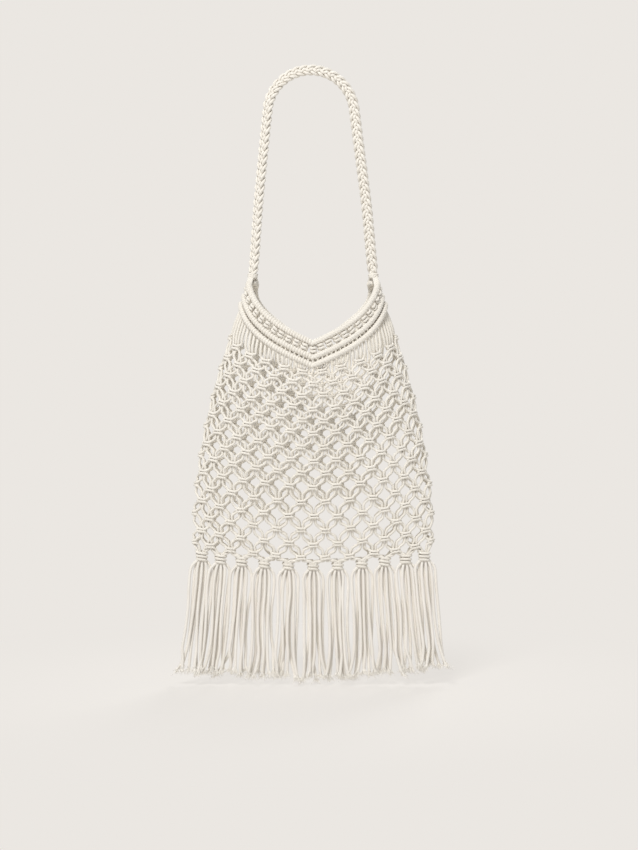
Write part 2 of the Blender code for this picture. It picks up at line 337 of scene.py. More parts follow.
def net_angle(column, height):
    """The angle round the bag of a net column, 0 at the front's middle and half a turn at the back's.

    The back's columns are set a little sideways, most in the upper middle and not at the sides and fringe.
    """
    quarter = columns / 4
    turn = np.mod((column - quarter) / quarter + 1, 4) - 1
    back = turn > 1
    share = np.where(back, 2 - turn, turn)
    fallen = bottom_roll_corner - back_shift_start - height
    upper = 1 - smooth_step(fallen / (back_shift_reach * net_height))
    share = share + back * back_shift / quarter * (1 - share**2) * upper
    fall = smooth_step((bottom_roll_corner - height) / net_height)
    crowd = np.maximum(bottom_turn * fall, 1e-3)
    angle = angle_at(np.sin(share * crowd) / np.sin(crowd), height)
    return np.where(back, math.pi - angle, angle)


def place(column, height, out):
    """A point of the net: the plan ellipse's point at the column, moved outwards along its normal."""
    angle = net_angle(column, height)
    wide, deep = net_radii(height)
    normal = np.stack([np.sin(angle) / wide, -np.cos(angle) / deep], -1)
    normal = normal / np.linalg.norm(normal, axis=-1, keepdims=True)
    across = wide * np.sin(angle) + out * normal[..., 0]
    depth = -deep * np.cos(angle) + out * normal[..., 1]
    return np.stack([across, depth, height + 0 * across], -1)


def column_width(column, height):
    """The net's width at a column: the two chords to half a column on each side."""
    middle = place(column, height, 0)
    left = place(column - 0.5, height, 0)
    right = place(column + 0.5, height, 0)
    return np.linalg.norm(right - middle, axis=-1) + np.linalg.norm(middle - left, axis=-1)


def column_share(column):
    """How far across the front or the back a column is, from -1 to 1."""
    quarter = columns / 4
    turn = np.mod((column - quarter) / quarter + 1, 4) - 1
    return np.where(turn > 1, 2 - turn, turn)


def is_back(column):
    """One for columns at the back of the bag and nought in front."""
    quarter = columns / 4
    return (np.mod((column - quarter) / quarter + 1, 4) - 1 > 1).astype(float)


def row_height(row, column):
    """A row's height: between its middle and its edge by a power of the share across, lower at the back."""
    middle = first_row_centre + (last_row_centre - first_row_centre) * row_shares[row]
    edge = first_row_edge + (last_row_edge - first_row_edge) * row / rows
    share = np.abs(column_share(column))
    hidden = is_back(column) * (1 - row / rows) ** 0.5
    sag = back_drop * hidden * np.clip(6 * (1 - share), 0, 1)
    return middle + (edge - middle) * share**row_curve - sag


# Cords


def curve_through(points, per_span):
    """A smooth curve through every point of each path: a Catmull-Rom cubic on each span."""
    before = np.concatenate([2 * points[:, :1] - points[:, 1:2], points[:, :-2]], 1)
    start = points[:, :-1]
    end = points[:, 1:]
    after = np.concatenate([points[:, 2:], 2 * points[:, -1:] - points[:, -2:-1]], 1)
    t = (np.arange(per_span) / per_span)[None, None, :, None]
    p, a, b, q = (x[:, :, None] for x in (before, start, end, after))
    made = 0.5 * (2 * a + (b - p) * t + (2 * p - 5 * a + 4 * b - q) * t**2 + (3 * a - p - 3 * b + q) * t**3)
    return np.concatenate([made.reshape(len(points), -1, points.shape[-1]), points[:, -1:]], 1)


def unit(vectors):
    """The same directions at length one."""
    return vectors / np.maximum(np.linalg.norm(vectors, axis=-1, keepdims=True), 1e-12)


def sweep(paths, radius=cord_radius, sides=7, tone=None, finish=0):
    """Round cords: at each point of a path a ring square to it, its start carried along unturned.

    Each cord has a cap on both ends, a map with the length along it and the share round it, and a tone.
    """
    paths = np.asarray(paths, float)
    cords, rings = paths.shape[:2]
    along = unit(np.gradient(paths, axis=1))
    side = np.empty_like(paths)
    carried = unit(np.cross(along[:, 0], (0.31, 0.87, 0.38)))
    for i in range(rings):
        carried = unit(carried - along[:, i] * np.sum(carried * along[:, i], -1, keepdims=True))
        side[:, i] = carried
    other = np.cross(along, side)
    turn = 2 * math.pi * np.arange(sides) / sides
    reach = np.broadcast_to(radius, (cords, rings))[:, :, None, None]
    spokes = side[:, :, None] * np.cos(turn)[:, None] + other[:, :, None] * np.sin(turn)[:, None]
    vertices = paths[:, :, None] + reach * spokes
    normals = spokes + 0 * vertices

    number = np.arange(cords * rings * sides).reshape(cords, rings, sides)
    beside = np.roll(number, -1, 2)
    quads = np.stack([number[:, :-1], beside[:, :-1], beside[:, 1:], number[:, 1:]], -1)
    caps = np.concatenate([number[:, 0, ::-1], number[:, -1]])

    steps = np.linalg.norm(np.diff(paths, axis=1), axis=-1)
    length = np.concatenate([np.zeros((cords, 1)), np.cumsum(steps, 1)], 1)
    length = length + chance.uniform(0, 0.05, (cords, 1))
    here = np.broadcast_to(length[:, :-1, None], quads.shape[:3])
    there = np.broadcast_to(length[:, 1:, None], quads.shape[:3])
    low = np.broadcast_to(np.arange(sides) / sides, quads.shape[:3])
    high = low + 1 / sides
    quad_map = np.stack([here, low, here, high, there, high, there, low], -1).reshape(-1, 4, 2)
    cap_map = np.full((2 * cords, sides, 2), 0.02)
    if tone is None:
        tone = chance.uniform(0, 1, cords)
    tones = np.repeat(np.broadcast_to(tone, cords), rings * sides)
    return {
        "vertices": vertices.reshape(-1, 3),
        "quads": quads.reshape(-1, 4),
        "caps": caps,
        "quad_map": quad_map,
        "cap_map": cap_map,
        "tones": tones,
        "normals": normals.reshape(-1, 3),
        "finish": finish,
    }


def build(name, bundles, nodes, *materials):
    """One mesh of many swept cords: their rings and caps put together, with the cord map and the tones."""
    vertices = np.concatenate([b["vertices"] for b in bundles])
    starts = np.cumsum([0] + [len(b["vertices"]) for b in bundles[:-1]])
    corners = []
    sizes = []
    maps = []
    finishes = []
    for bundle, start in zip(bundles, starts):
        finishes.append(np.full(len(bundle["quads"]) + len(bundle["caps"]), bundle["finish"]))
        corners += [(bundle["quads"] + start).ravel(), (bundle["caps"] + start).ravel()]
        sizes += [np.full(len(bundle["quads"]), 4), np.full(len(bundle["caps"]), bundle["caps"].shape[1])]
        maps += [bundle["quad_map"].reshape(-1, 2), bundle["cap_map"].reshape(-1, 2)]
    corners = np.concatenate(corners)
    sizes = np.concatenate(sizes)
    mesh = bpy.data.meshes.new(name)
    mesh.vertices.add(len(vertices))
    mesh.vertices.foreach_set("co", vertices.astype(np.float32).ravel())
    mesh.loops.add(len(corners))
    mesh.loops.foreach_set("vertex_index", corners.astype(np.int32))
    mesh.polygons.add(len(sizes))
    mesh.polygons.foreach_set("loop_start", np.concatenate([[0], np.cumsum(sizes)[:-1]]).astype(np.int32))
    mesh.polygons.foreach_set("material_index", np.concatenate(finishes).astype(np.int32))
    mesh.update(calc_edges=True)
    mesh.uv_layers.new(name="cord").data.foreach_set("uv", np.concatenate(maps).astype(np.float32).ravel())
    tone = mesh.attributes.new("tone", "FLOAT", "POINT")
    tone.data.foreach_set("value", np.concatenate([b["tones"] for b in bundles]).astype(np.float32))
    mesh.shade_smooth()
    for material in materials:
        mesh.materials.append(material)
    made = bpy.data.objects.new(name, mesh)
    bpy.context.scene.collection.objects.link(made)
    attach(made, "root")
    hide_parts(*nodes)
    normals = np.concatenate([b["normals"] for b in bundles])
    made_pieces.append((mesh, vertices, normals))
    return made


def blurred(grid, axis, reach):
    """A grid's running mean along one axis over the cells up to the reach on both sides."""
    padded = np.concatenate([np.zeros_like(np.take(grid, range(reach + 1), axis)), grid,
                             np.zeros_like(np.take(grid, range(reach), axis))], axis)
    total = np.cumsum(padded, axis)
    count = grid.shape[axis]
    high = np.take(total, range(2 * reach + 1, 2 * reach + 1 + count), axis)
    low = np.take(total, range(count), axis)
    return (high - low) / (2 * reach + 1)


def shade_creases():
    """The crease attribute: how much cord lies just outside each point, from a grid of where cords are. It
    is the mask of the painted shade that darkens the cotton's colour in the creases between cords.

    Cells that hold a vertex moved a little inwards count one, the grid is blurred, and each vertex reads it
    a little way out along its own normal.
    """
    low = np.min([vertices.min(0) for _, vertices, _ in made_pieces], 0) - 12 * MM
    high = np.max([vertices.max(0) for _, vertices, _ in made_pieces], 0) + 12 * MM
    shape = np.ceil((high - low) / crease_cell).astype(int) + 1
    grid = np.zeros(shape, np.float32)
    for _, vertices, normals in made_pieces:
        cell = ((vertices - 0.6 * MM * normals - low) / crease_cell).astype(int)
        grid[cell[:, 0], cell[:, 1], cell[:, 2]] = 1
    for axis in range(3):
        grid = blurred(grid, axis, 1)
    for mesh, vertices, normals in made_pieces:
        at = (vertices + crease_reach * normals - low) / crease_cell - 0.5
        cell = np.floor(at).astype(int)
        part = at - cell
        total = np.zeros(len(vertices))
        for corner in np.ndindex(2, 2, 2):
            weight = np.prod(np.where(corner, part, 1 - part), 1)
            x, y, z = (cell + corner).T
            total += weight * grid[x, y, z]
        crease = mesh.attributes.new("crease", "FLOAT", "POINT")
        crease.data.foreach_set("value", total.astype(np.float32))


def lengths_along(points):
    """The length from a line's first point to each of its points."""
    return np.concatenate([[0], np.cumsum(np.linalg.norm(np.diff(points, axis=0), axis=1))])


def along_line(line, shares):
    """Points at these shares of a line's length."""
    run = lengths_along(line)
    return np.stack([np.interp(shares * run[-1], run, line[:, i]) for i in range(3)], -1)


def even_path(points, count):
    """The same path with its points an even length apart, and its length."""
    return along_line(points, np.linspace(0, 1, count)), lengths_along(points)[-1]


# Cotton


def cotton_group():
    """Twisted cotton: three plies that wind round the cord, fine fibres, and a tone for each cord, with
    painted shade in the grooves between plies and in the creases between cords.
    """
    tree = bpy.data.node_groups.new("twisted_cotton", "ShaderNodeTree")
    face = tree.interface
    for name, kind, value in (
        ("Light Colour", "NodeSocketColor", cotton_light),
        ("Shade Colour", "NodeSocketColor", cotton_shade),
        ("Painted Shade Colour", "NodeSocketColor", cotton_painted_crease_shade),
        ("Crease Shade", "NodeSocketFloat", 0.9),
        ("Plies", "NodeSocketFloat", ply_count),
        ("Ply Pitch", "NodeSocketFloat", ply_pitch),
        ("Groove Depth", "NodeSocketFloat", 1.0),
    ):
        socket = face.new_socket(name, in_out="INPUT", socket_type=kind)
        socket.default_value = value
    face.new_socket("Color", in_out="OUTPUT", socket_type="NodeSocketColor")
    face.new_socket("Roughness", in_out="OUTPUT", socket_type="NodeSocketFloat")
    face.new_socket("Height", in_out="OUTPUT", socket_type="NodeSocketFloat")
    nodes = tree.nodes
    links = tree.links
    given = nodes.new("NodeGroupInput")
    result = nodes.new("NodeGroupOutput")

    def maths(operation, first, second=None):
        node = nodes.new("ShaderNodeMath")
        node.operation = operation
        for socket, value in zip(node.inputs, (first, second)):
            if isinstance(value, (int, float)):
                socket.default_value = value
            elif value is not None:
                links.new(value, socket)
        return node.outputs[0]

    cord_map = nodes.new("ShaderNodeUVMap")
    cord_map.uv_map = "cord"
    parts = nodes.new("ShaderNodeSeparateXYZ")
    links.new(cord_map.outputs["UV"], parts.inputs[0])
    along = maths("DIVIDE", parts.outputs["X"], given.outputs["Ply Pitch"])
    around = maths("ADD", maths("MULTIPLY", along, given.outputs["Plies"]),
                   maths("MULTIPLY", parts.outputs["Y"], given.outputs["Plies"]))
    ridge = maths("ABSOLUTE", maths("SINE", maths("MULTIPLY", around, math.pi)))
    ridge = maths("POWER", ridge, 0.55)

    place_in_cord = nodes.new("ShaderNodeCombineXYZ")
    links.new(maths("MULTIPLY", parts.outputs["X"], 260.0), place_in_cord.inputs[0])
    links.new(maths("MULTIPLY", around, 7.0), place_in_cord.inputs[1])
    strands = nodes.new("ShaderNodeTexNoise")
    strands.inputs["Scale"].default_value = 1.0
    strands.inputs["Detail"].default_value = 3.0
    links.new(place_in_cord.outputs[0], strands.inputs["Vector"])

    where = nodes.new("ShaderNodeTexCoord")
    fluff = nodes.new("ShaderNodeTexNoise")
    fluff.inputs["Scale"].default_value = 1500.0
    fluff.inputs["Detail"].default_value = 4.0
    links.new(where.outputs["Object"], fluff.inputs["Vector"])
    patches = nodes.new("ShaderNodeTexNoise")
    patches.inputs["Scale"].default_value = 45.0
    patches.inputs["Detail"].default_value = 2.0
    links.new(where.outputs["Object"], patches.inputs["Vector"])

    tone = nodes.new("ShaderNodeAttribute")
    tone.attribute_name = "tone"

    height = maths("ADD", maths("MULTIPLY", ridge, given.outputs["Groove Depth"]),
                   maths("MULTIPLY", strands.outputs["Fac"], 0.35))
    height = maths("ADD", height, maths("MULTIPLY", fluff.outputs["Fac"], 0.25))

    # Painted shade: the colour darkens in the grooves between plies; the tone, strand and patch terms added
    # after it are the cotton's own uneven colour
    groove = maths("SUBTRACT", 1.0, ridge)
    shade = maths("MULTIPLY", maths("POWER", groove, 1.5), 0.45)
    shade = maths("ADD", shade, maths("MULTIPLY", tone.outputs["Fac"], 0.16))
    shade = maths("ADD", shade, maths("MULTIPLY", maths("SUBTRACT", 0.5, strands.outputs["Fac"]), 0.35))
    shade = maths("ADD", shade, maths("MULTIPLY", maths("SUBTRACT", 0.5, patches.outputs["Fac"]), 0.4))
    # Painted shade: the colour darkens towards the crease colour where much cord lies close outside a point,
    # as in the creases between cords
    crease = nodes.new("ShaderNodeAttribute")
    crease.attribute_name = "crease"
    depth = nodes.new("ShaderNodeMapRange")
    depth.interpolation_type = "SMOOTHSTEP"
    depth.inputs["From Min"].default_value = 0.3
    depth.inputs["From Max"].default_value = 0.8
    links.new(crease.outputs["Fac"], depth.inputs["Value"])
    mix = nodes.new("ShaderNodeMix")
    mix.data_type = "RGBA"
    mix.clamp_factor = True
    links.new(shade, mix.inputs[0])
    links.new(given.outputs["Light Colour"], mix.inputs[6])
    links.new(given.outputs["Shade Colour"], mix.inputs[7])
    dark = nodes.new("ShaderNodeMix")
    dark.data_type = "RGBA"
    dark.clamp_factor = True
    links.new(maths("MULTIPLY", depth.outputs["Result"], given.outputs["Crease Shade"]), dark.inputs[0])
    links.new(mix.outputs[2], dark.inputs[6])
    links.new(given.outputs["Painted Shade Colour"], dark.inputs[7])
    links.new(dark.outputs[2], result.inputs["Color"])
    rough = maths("ADD", 0.82, maths("MULTIPLY", fluff.outputs["Fac"], 0.14))
    links.new(rough, result.inputs["Roughness"])
    links.new(height, result.inputs["Height"])
    return tree


def cotton_material(name, group, relief, groove, crease, light, shade):
    """Matt cotton with a soft sheen, its relief from the group's height, and painted shade in the creases at
    the given strength.
    """
    material = bpy.data.materials.new(name)
    material.use_nodes = True
    nodes = material.node_tree.nodes
    links = material.node_tree.links
    shader = nodes["Principled BSDF"]
    shader.inputs["Sheen Weight"].default_value = 0.25
    shader.inputs["Sheen Roughness"].default_value = 0.5
    shader.inputs["Specular IOR Level"].default_value = 0.25
    cotton = nodes.new("ShaderNodeGroup")
    cotton.node_tree = group
    cotton.inputs["Groove Depth"].default_value = groove
    # Strength of the painted shade in the creases
    cotton.inputs["Crease Shade"].default_value = crease
    cotton.inputs["Light Colour"].default_value = light
    cotton.inputs["Shade Colour"].default_value = shade
    bump = nodes.new("ShaderNodeBump")
    bump.inputs["Strength"].default_value = 0.7
    bump.inputs["Distance"].default_value = relief
    links.new(cotton.outputs["Color"], shader.inputs["Base Color"])
    links.new(cotton.outputs["Roughness"], shader.inputs["Roughness"])
    links.new(cotton.outputs["Height"], bump.inputs["Height"])
    links.new(bump.outputs["Normal"], shader.inputs["Normal"])
    return material


# Strap


def strap_centre_line(count):
    """The strap from the left foot over the arch to the right foot: two straight legs on a round arch."""
    centre = np.array([0, 0, strap_width / 2 * flat_share - arch_radius])
    foot = np.array([half_width(top_roll_corner), 0, -strap_drop]) - centre
    reach = np.linalg.norm(foot)
    splay = math.atan2(foot[2], foot[0]) + math.acos(arch_radius / reach)
    leg = math.sqrt(reach**2 - arch_radius**2)
    angles = np.linspace(-(math.pi / 2 - splay), math.pi / 2 - splay, 90)
    arch = centre + arch_radius * np.stack([np.sin(angles), 0 * angles, np.cos(angles)], -1)
    down = np.linspace(0, 1, 40)[1:, None] * leg
    right = arch[-1] + down * np.array([math.sin(splay), 0, -math.cos(splay)])
    left = arch[0] + down[::-1] * np.array([-math.sin(splay), 0, -math.cos(splay)])
    line, length = even_path(np.concatenate([left, arch, right]), count)
    lean = smooth_step((line[:, 2] + strap_drop) / strap_drop)
    line[:, 0] += strap_lean * lean
    line[:, 0] -= np.sign(line[:, 0]) * foot_shift * smooth_step((-line[:, 2] - 140 * MM) / (100 * MM))
    return line, length


def make_strap(material):
    """The plait: three strands a third of a wave apart, each of two cords, turned by the leg's twist."""
    count = 700
    line, length = strap_centre_line(count)
    along = unit(np.gradient(line, axis=0))
    run = np.linspace(0, length, count)
    depth = np.array([0.0, 1.0, 0.0])
    flat = np.cross(depth, along)
    twist = np.radians(np.interp(run / length, *strap_twists))[:, None]
    wide = flat * np.cos(twist) + depth * np.sin(twist)
    thick = np.cross(along, wide)
    ends = smooth_step(np.minimum(run, length - run) / (16 * MM))
    paths = []
    for strand in range(3):
        phase = 2 * math.pi * (run / plait_length - strand / 3)
        sway = plait_sway * (0.45 + 0.55 * ends)
        offset = sway * np.cos(phase)
        lift = plait_depth * (0.8 + 0.2 * ends) * np.sin(2 * phase)
        lean = np.arctan(-sway * 2 * math.pi / plait_length * np.sin(phase))
        for side in (-1, 1):
            gap = side * pair_gap * (0.6 + 0.4 * ends)
            point = line + wide * (offset + gap * np.cos(lean))[:, None]
            point = point - along * (gap * np.sin(lean))[:, None] + thick * lift[:, None]
            paths.append(point)
    build("strap_plait", [sweep(paths, plait_cord / 2, 8)], ["strap"], material)


def tail_cords(centre, side):
    """The cords that leave a binding: three to the front top roll and three to the back one."""
    tails = []
    for face_name, face in (("front", -1), ("back", 1)):
        spread = end_spread[face_name, "top"]
        line = neck_line(face, side * np.radians(np.array(tail_turns)), top_roll_corner, spread)
        beside = 0 if face < 0 else -side * rear_tail_shift
        for place_in_row in (-1, 0, 1):
            inward = place_in_row * tail_spacing * face * side
            start = centre + (inward + beside, face * tail_depth, tail_start - strap_drop)
            below = (start + line[0]) / 2 + (inward / 2, face * 0.75 * tail_depth, 0)
            tails.append([start, below, line[1] + (inward, 0, 0), line[2]])
    return curve_through(np.array(tails), 5)


def make_bindings(material):
    """Two turns of cord round each foot of the strap, and its cords running on into the top rolls."""
    for name, side in (("left_wrap", -1), ("right_wrap", 1)):
        centre = np.array([side * (half_width(top_roll_corner) - foot_shift), 0, 0])
        turns = np.linspace(-binding_end, binding_turns + binding_end, 60)
        angle = 2 * math.pi * turns * side
        tuck = 1 - 0.35 * smooth_step((np.abs(turns - 1) - 1) / binding_end)
        height = -strap_drop + binding_rise + (binding_turns - turns) * binding_pitch
        reach = binding_half_width * tuck
        depth = -reach * np.cos(angle) * binding_flatness
        coil = np.stack([reach * np.sin(angle), depth, height], -1) + centre
        build(name + "_cord", [sweep([coil], sides=8), sweep(tail_cords(centre, side))], [name], material)


# Neckline


def wound_roll(line, hand):
    """A cord wound on a core: a helix of one turn a pitch round the line, its turns sheared to a slant."""
    run = lengths_along(line)
    turns = int(round(run[-1] / winding_pitch))
    fine = np.linspace(0, run[-1], turns * 10 + 1)
    angle = hand * 2 * math.pi * np.linspace(0, turns, turns * 10 + 1)
    shifted = np.clip(fine + winding_slant * np.sin(angle) * hand, 0, run[-1])
    point = np.stack([np.interp(shifted, run, line[:, i]) for i in range(3)], -1)
    along = unit(np.stack([np.interp(fine, run, np.gradient(line[:, i])) for i in range(3)], -1))
    out = unit(np.cross(along, (0, 0, 1)))
    up = np.cross(out, along)
    return point + winding_radius * (out * np.cos(angle)[:, None] + up * np.sin(angle)[:, None])


def make_rolls(material):
    """The three rolls of each face: a left and a right half, wound opposite ways, that meet at the V."""
    corners = {"top": top_roll_corner, "middle": middle_roll_corner, "bottom": bottom_roll_corner}
    for face_name, face in (("front", -1), ("back", 1)):
        for roll, corner in corners.items():
            bundles = []
            for side in (-1, 1):
                angles = side * np.linspace(-halves_overlap, math.pi / 2, 400)
                spread = end_spread.get((face_name, roll), 0.0)
                line = neck_line(face, angles, corner + roll_shift[roll], spread)
                bundles.append(sweep([wound_roll(line, side * face)], winding_cord))
                bundles.append(sweep([line[::8]], core_radius, 6))
            name = f"{face_name}_{roll}_roll"
            build(name + "_windings", bundles, [name], material)


def make_knot_rows(material):
    """Small knots between the top and middle rolls: two flat turns of cord round two upright cords."""
    for face_name, face in (("front", -1), ("back", 1)):
        shares = (np.arange(knots_in_row) + 0.5) / knots_in_row
        shares = shares + chance.uniform(-0.003, 0.003, knots_in_row)
        spread = end_spread[face_name, "top"] / 2
        line = neck_line(face, np.linspace(-math.pi / 2, math.pi / 2, 1200), knot_row_corner, spread)
        centre = along_line(line, shares)
        along = unit(along_line(line, shares + 0.008) - along_line(line, shares - 0.008))
        out = unit(np.cross(along, (0, 0, 1)))
        out = out * np.sign(np.sum(out * centre * (1, 1, 0), -1, keepdims=True))
        up = np.cross(out, along)
        up = up * np.sign(up[:, 2:])
        turns = np.linspace(0, 2, 37)
        angle = 2 * math.pi * turns
        wave_along = -knot_half_length * np.sin(angle)
        wave_out = -knot_half_depth * np.cos(angle)
        lift = knot_bar_pitch * (1 - turns) + 0.6 * MM * np.sin(2 * angle)
        tilt = chance.uniform(-0.2, 0.2, (knots_in_row, 1, 1))
        coils = (
            centre[:, None]
            + along[:, None] * wave_along[:, None]
            + out[:, None] * wave_out[:, None]
            + up[:, None] * (lift[:, None] + tilt * wave_along[:, None])
        )
        stems = []
        for side in (-0.5, 0.5):
            foot = centre + along * side * stem_spacing - out * stem_inset
            stems.append(np.stack([foot - up * stem_reach, foot, foot + up * stem_reach], 1))
        stems = curve_through(np.concatenate(stems), 3)
        name = f"{face_name}_knot_row"
        build(name + "_cords", [sweep(coils, knot_cord), sweep(stems, stem_radius, 6)], [name], material)


# Net


def knot_jitter():
    """Small seeded shifts and tilts for every knot: rows by half columns."""
    shifts = chance.uniform(-place_scatter, place_scatter, (rows + 1, 2 * columns, 2))
    tilts = chance.uniform(-tilt_scatter, tilt_scatter, (rows + 1, 2 * columns))
    return shifts, tilts


def net_paths(kind, shifts, tilts):
    """The paths of one kind of cord at all columns: fan, knots, legs and the end in a tassel's head.

    A knot's points are turned by its tilt, laid on the net as columns and heights, and put on the form.
    A leg has one more point in its middle, bowed square to the leg.
    """
    even_part, odd_part, step, roll_place = kind
    column = np.arange(columns, dtype=float)
    flat = []
    workers = []
    for row in range(rows):
        odd = row % 2
        part = np.array(odd_part if odd else even_part)
        middle = column + (step if odd else 0)
        cell = np.mod(np.round(2 * middle), 2 * columns).astype(int)
        height = row_height(row, middle) + shifts[row, cell, 1]
        width = column_width(middle, height)
        middle = middle + shifts[row, cell, 0] / width
        slope = (row_height(row, middle + 0.2) - row_height(row, middle - 0.2)) / (0.4 * width)
        tilt = 0.6 * np.arctan(slope) + tilts[row, cell]
        across = part[:, 0] * net_cord
        down = part[:, 1] * net_cord
        turned_across = across * np.cos(tilt)[:, None] + down * np.sin(tilt)[:, None]
        turned_up = across * np.sin(tilt)[:, None] - down * np.cos(tilt)[:, None]
        out = np.broadcast_to(part[:, 2] * net_cord * knot_flatness, turned_across.shape)
        knot_column = middle[:, None] + turned_across / width[:, None]
        flat.append(np.stack([knot_column, height[:, None] + turned_up, out], -1))
        workers.append(len(part) > 3)

    start_column = column + roll_place
    start_height = np.full(columns, bottom_roll_corner)
    for _ in range(8):
        angle = net_angle(start_column, start_height)
        inner = np.where(np.abs(angle) > math.pi / 2, math.pi - np.abs(angle), np.abs(angle))
        start_height = neck_height(inner, bottom_roll_corner) + is_back(start_column) * rear_lift(inner)
    start = np.stack([start_column, start_height, 0 * column], -1)[:, None]
    first = flat[0][:, :1]
    fan = start + (first - start) * np.array([0.4, 0.78])[None, :, None]
    fan[..., 2] += np.array([1.2, 1.4])[None] * MM
    fan[..., 0] += (start[..., 0] - first[..., 0]) * np.array([0.34, 0.38])[None]

    above = start + np.array([0, roll_pitch, -0.8 * MM])
    pieces = [above, start, fan, flat[0]]
    for row in range(1, rows):
        leave = flat[row - 1][:, -1]
        enter = flat[row][:, 0]
        width = column_width((leave[:, 0] + enter[:, 0]) / 2, (leave[:, 1] + enter[:, 1]) / 2)
        run = (enter[:, 0] - leave[:, 0]) * width
        fall = leave[:, 1] - enter[:, 1]
        reach = np.maximum(np.hypot(run, fall), 1e-6)
        bow = leg_bow * net_cord * (1 if workers[row - 1] else -1)
        direction = step if row % 2 else -step
        middle = (leave + enter) / 2
        middle[:, 0] += bow * np.abs(fall) / reach * np.sign(direction) / width
        middle[:, 1] += bow * np.abs(run) / reach
        middle[:, 2] += 0.1 * net_cord
        pieces += [middle[:, None], flat[row]]

    last = pieces[-1][:, -1]
    head = column + step
    head_height = row_height(rows, head)
    width = column_width(head, head_height)
    offset = {left_filler: -0.5, right_worker: 1.1, left_worker: -1.1, right_filler: 0.5}[odd_part] * cord
    enter = np.stack([head + offset / width, head_height + 6 * MM, 0 * head], -1)
    end = np.stack([head + 0.7 * offset / width, head_height - 1 * MM, 0 * head - 1.5 * MM], -1)
    middle = (last + enter) / 2
    middle[:, 2] += 0.1 * cord
    pieces += [middle[:, None], enter[:, None], end[:, None]]
    laid = np.concatenate(pieces, 1)
    return curve_through(place(laid[..., 0], laid[..., 1], laid[..., 2]), 2)


def make_net(material):
    """The net's 88 cords, in four pieces: left and right, front and back."""
    shifts, tilts = knot_jitter()
    quarters = {"front_left": [], "front_right": [], "back_right": [], "back_left": []}
    for kind in cord_kinds:
        paths = net_paths(kind, shifts, tilts)
        thickness = np.full((1, paths.shape[1]), net_cord / 2)
        thickness[:, : len(fan_fade)] += (fan_cord - net_cord) / 2 * fan_fade
        middle = np.mod(np.arange(columns) + kind[2] / 2, columns)
        tone = chance.uniform(0, 1, columns)
        for i, name in enumerate(quarters):
            mine = (middle // (columns / 4)).astype(int) == i
            quarters[name].append(sweep(paths[mine], thickness, tone=tone[mine]))
    for name, bundles in quarters.items():
        node = "net_front" if name.startswith("front") else "net_back"
        build("net_" + name, bundles, [node], material)


# Fringe


def tassel_cords(x, z, low):
    """Eight cords hanging from a head: the outer two arch away from it, the inner six hang between them.

    A cord's distance from the tassel's middle is its place in the bundle times a share for each depth, and a
    slow seeded drift that grows with the depth.
    """
    inner = inner_places[:, None] * inner_share
    spread = np.concatenate([-outer_reach[None], inner, outer_reach[None]]) * MM
    full_depth = hang_depths[-1]
    level = np.clip(hang_depths / full_depth, 0, 1)
    squeeze = 1 + chance.uniform(-0.16, 0.1) * np.sin(math.pi * level) ** 1.5
    bends = chance.normal(0, 1, (2, cords_in_tassel, len(drift_levels))) * drift_sizes
    drift = np.stack([[np.interp(level, drift_levels, bend) for bend in axis] for axis in bends])
    lean = chance.normal(0, 1.4) * MM * level**1.5
    ends = low + chance.uniform(-4.0, 3.5, cords_in_tassel) * MM
    layer = np.where(np.arange(cords_in_tassel) % 2, 1, -1)[:, None] * (1.7 + 1.6 * level) * MM
    path_x = x * (1 + (fringe_spread - 1) * level) + spread * squeeze + drift[0] + lean
    stretch = np.where(hang_depths > 0, (z - ends[:, None]) / (full_depth * MM), 1)
    path_z = z - hang_depths * MM * stretch
    return np.stack([path_x, layer + drift[1], path_z], -1)


def frayed_ends(cords):
    """Loose fibres at the cords' tips: thin hairs that start in the cord and bend outwards from its line."""
    tip = cords[:, -1]
    heading = unit(cords[:, -1] - cords[:, -3])
    number = len(cords) * fibres_in_end
    away = np.repeat(heading, fibres_in_end, 0)
    root = np.repeat(tip, fibres_in_end, 0) - away * 2.5 * MM
    around = chance.uniform(0, 2 * math.pi, number)
    inside = np.sqrt(chance.uniform(0.02, 1, number))
    flare = np.stack([np.cos(around), np.sin(around), 0 * around], -1) * inside[:, None]
    reach = fibre_length * chance.uniform(0.4, 1, number)[:, None, None]
    bend = chance.normal(0, 0.3, (number, 3)) * (1, 1, 0.3)
    share = np.linspace(0, 1, 4)[None, :, None]
    hairs = root[:, None] + flare[:, None] * cord_radius * 0.8 + away[:, None] * reach * share
    hairs = hairs + (flare * 0.4 + bend)[:, None] * reach * share**2
    return sweep(hairs, fibre_radii, 4, finish=1)


def make_fringe(material, frayed, hanging):
    """Eleven tassels: a head of three bars round eight cords, the hanging cords and their frayed ends."""
    front = np.arange(tassels) + 0.5
    for i in range(tassels):
        share = column_share(front[i])
        x = bottom_half_width * math.sin(share * bottom_turn) / math.sin(bottom_turn) * fringe_inset
        z = float(row_height(rows, front[i]))
        turns = np.linspace(0.0, head_turns, 84)
        angle = 2 * math.pi * turns + math.pi / 2
        round_out = np.abs(np.cos(angle)) ** head_roundness * np.sign(np.cos(angle))
        middle = (turns - head_turns / 2) / (head_turns / 2)
        curl = head_curl * np.abs(round_out) ** 3 * np.sign(-middle) * np.abs(middle)
        tilt = chance.uniform(-0.09, 0.09)
        coil_x = head_half_width * (1.08 - head_taper * (middle + 1)) * round_out
        height = z + head_rise - head_pitch * (turns - head_turns / 2) + curl + tilt * coil_x
        coil = np.stack([x + coil_x, head_half_depth * np.sin(angle), height], -1)
        low = np.interp(x, np.array(fringe_ends[0]) * MM, np.array(fringe_ends[1]) * MM)
        cords = curve_through(tassel_cords(x, z, low), 4)
        thickness = np.full(cords.shape[:2], hanging_cord / 2)
        thickness[:, -1] *= tip_share
        bundles = [sweep([coil], head_cord / 2, 8), sweep(cords, thickness, finish=2), frayed_ends(cords)]
        name = f"tassel_{i + 1:02d}"
        build(name + "_cords", bundles, [name], material, frayed, hanging)


# Studio


